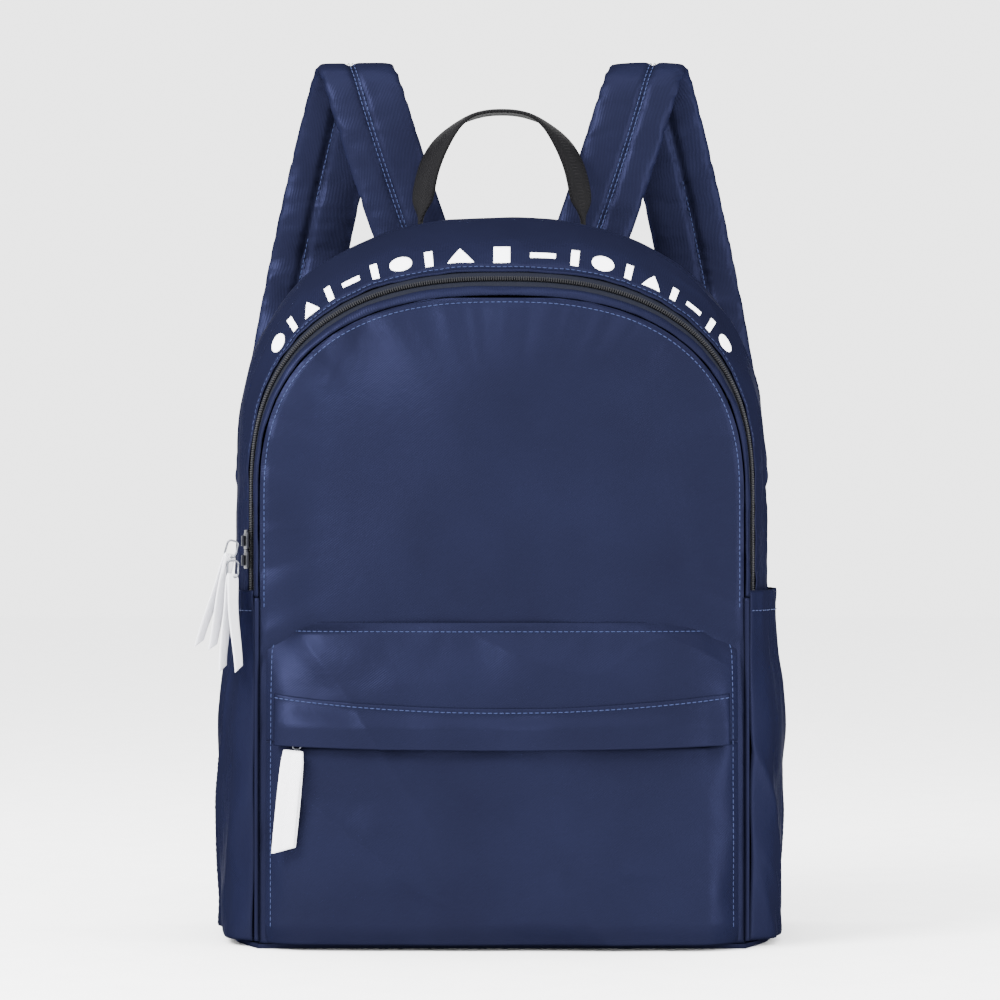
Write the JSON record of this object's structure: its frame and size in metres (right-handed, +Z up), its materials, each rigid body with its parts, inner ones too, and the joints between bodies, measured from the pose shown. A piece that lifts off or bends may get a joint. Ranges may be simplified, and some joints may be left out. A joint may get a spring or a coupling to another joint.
{
  "type": "school backpack",
  "caption": "Navy school backpack with an arched zip-round main compartment, zipped front pocket, side pockets, grab handle and padded straps.",
  "frame": {"origin": "middle of the bottom panel's underside, on the ground", "axes": "+Z up, -Y out of the front panel, +X to the right seen from the front"},
  "size_m": [0.3303, 0.2127, 0.4901],
  "materials": {
    "shell": "satin",
    "lining": "matte",
    "webbing": "matte",
    "plastic": "satin",
    "pull": "matte",
    "foam": "matte",
    "metal": "satin"
  },
  "bodies": {
    "bag": {"gusset_band": "shell", "side_panel_left": "shell", "side_panel_right": "shell", "front_panel_lower": "shell", "bottom_panel": "shell", "base_board": "foam", "back_panel": "shell", "back_foam": "foam", "back_lining": "lining", "laptop_sleeve": "lining", "sleeve_binding": "lining", "main_zip_coil_rear": "plastic", "main_zip_tape_rear": "webbing", "pocket_band": "shell", "pocket_side_left": "shell", "pocket_side_right": "shell", "pocket_zip_coil_upper": "plastic", "pocket_zip_tape_upper": "webbing", "side_pocket_left": "shell", "side_pocket_right": "shell", "side_pocket_hem_left": "shell", "side_pocket_hem_right": "shell", "strap_root_left": "shell", "strap_root_right": "shell", "strap_anchor_left": "shell", "strap_anchor_right": "shell", "strap_yoke": "shell"},
    "front_flap": {"front_panel_upper": "shell", "gusset_front_strip": "shell", "main_zip_coil_front": "plastic", "main_zip_tape_front": "webbing"},
    "pocket_panel": {"pocket_front": "shell", "pocket_zip_coil_lower": "plastic", "pocket_zip_tape_lower": "webbing"},
    "placket": {"pocket_placket": "shell"},
    "handle": {"grab_handle": "webbing"},
    "strap_left": {"strap_pad_left": "shell", "strap_lining_left": "lining", "ladder_lock_left": "plastic", "lock_loop_left": "webbing", "strap_webbing_left": "webbing", "strap_tail_left": "webbing"},
    "strap_right": {"strap_pad_right": "shell", "strap_lining_right": "lining", "ladder_lock_right": "plastic", "lock_loop_right": "webbing", "strap_webbing_right": "webbing", "strap_tail_right": "webbing"},
    "slider_a": {"main_slider_a": "metal"},
    "slider_b": {"main_slider_b": "metal"},
    "pull_a": {"main_pull_ring_a": "metal", "main_pull_a": "pull"},
    "pull_b": {"main_pull_ring_b": "metal", "main_pull_b": "pull"},
    "pocket_slider": {"pocket_slider": "metal", "pocket_pull_ring": "metal"},
    "pocket_pull": {"pocket_pull": "pull"}
  },
  "joints": [
    {"name": "flap_fold", "type": "hinge", "parent": "bag", "child": "front_flap", "pos_m": [0, -0.0682, 0.178], "axis": [1, 0, 0], "range_deg": [0, 85]},
    {"name": "pocket_mouth", "type": "hinge", "parent": "bag", "child": "pocket_panel", "pos_m": [0, -0.0876, 0.0046], "axis": [1, 0, 0], "range_deg": [0, 12]},
    {"name": "placket_lift", "type": "hinge", "parent": "bag", "child": "placket", "pos_m": [0, -0.0885, 0.1264], "axis": [-1, 0, 0], "range_deg": [0, 84]},
    {"name": "handle_fold", "type": "hinge", "parent": "bag", "child": "handle", "pos_m": [0, 0.052, 0.3938], "axis": [1, 0, 0], "range_deg": [0, 55]},
    {"name": "strap_swing_left", "type": "hinge", "parent": "bag", "child": "strap_left", "pos_m": [-0.084, 0.097, 0.4922], "axis": [1, 0, 0], "range_deg": [0, 15]},
    {"name": "strap_swing_right", "type": "hinge", "parent": "bag", "child": "strap_right", "pos_m": [0.084, 0.097, 0.4922], "axis": [1, 0, 0], "range_deg": [0, 15]},
    {"name": "slider_a_slide", "type": "slide", "parent": "bag", "child": "slider_a", "axis": [0, 0.0596, 0.9982], "range_m": [0, 0.012]},
    {"name": "slider_b_slide", "type": "slide", "parent": "bag", "child": "slider_b", "axis": [0, 0.0596, 0.9982], "range_m": [-0.009, 0]},
    {"name": "pull_a_swing", "type": "hinge", "parent": "slider_a", "child": "pull_a", "pos_m": [-0.144, -0.0514, 0.217], "axis": [0, 1, 0], "range_deg": [0, 60]},
    {"name": "pull_b_swing", "type": "hinge", "parent": "slider_b", "child": "pull_b", "pos_m": [-0.144, -0.0554, 0.2065], "axis": [-1, 0, 0], "range_deg": [0, 75]},
    {"name": "pocket_slider_run", "type": "hinge", "parent": "bag", "child": "pocket_slider", "pos_m": [0, 0.77062, 0.1135], "axis": [0, 0, 1], "range_deg": [0, 14.3]},
    {"name": "pocket_pull_swing", "type": "hinge", "parent": "pocket_slider", "child": "pocket_pull", "pos_m": [-0.11, -0.0849, 0.1058], "axis": [-1, 0, 0], "range_deg": [0, 70]}
  ],
  "couplings": [
    {"joint": "placket_lift", "follows": "pocket_mouth", "ratio": 7}
  ]
}
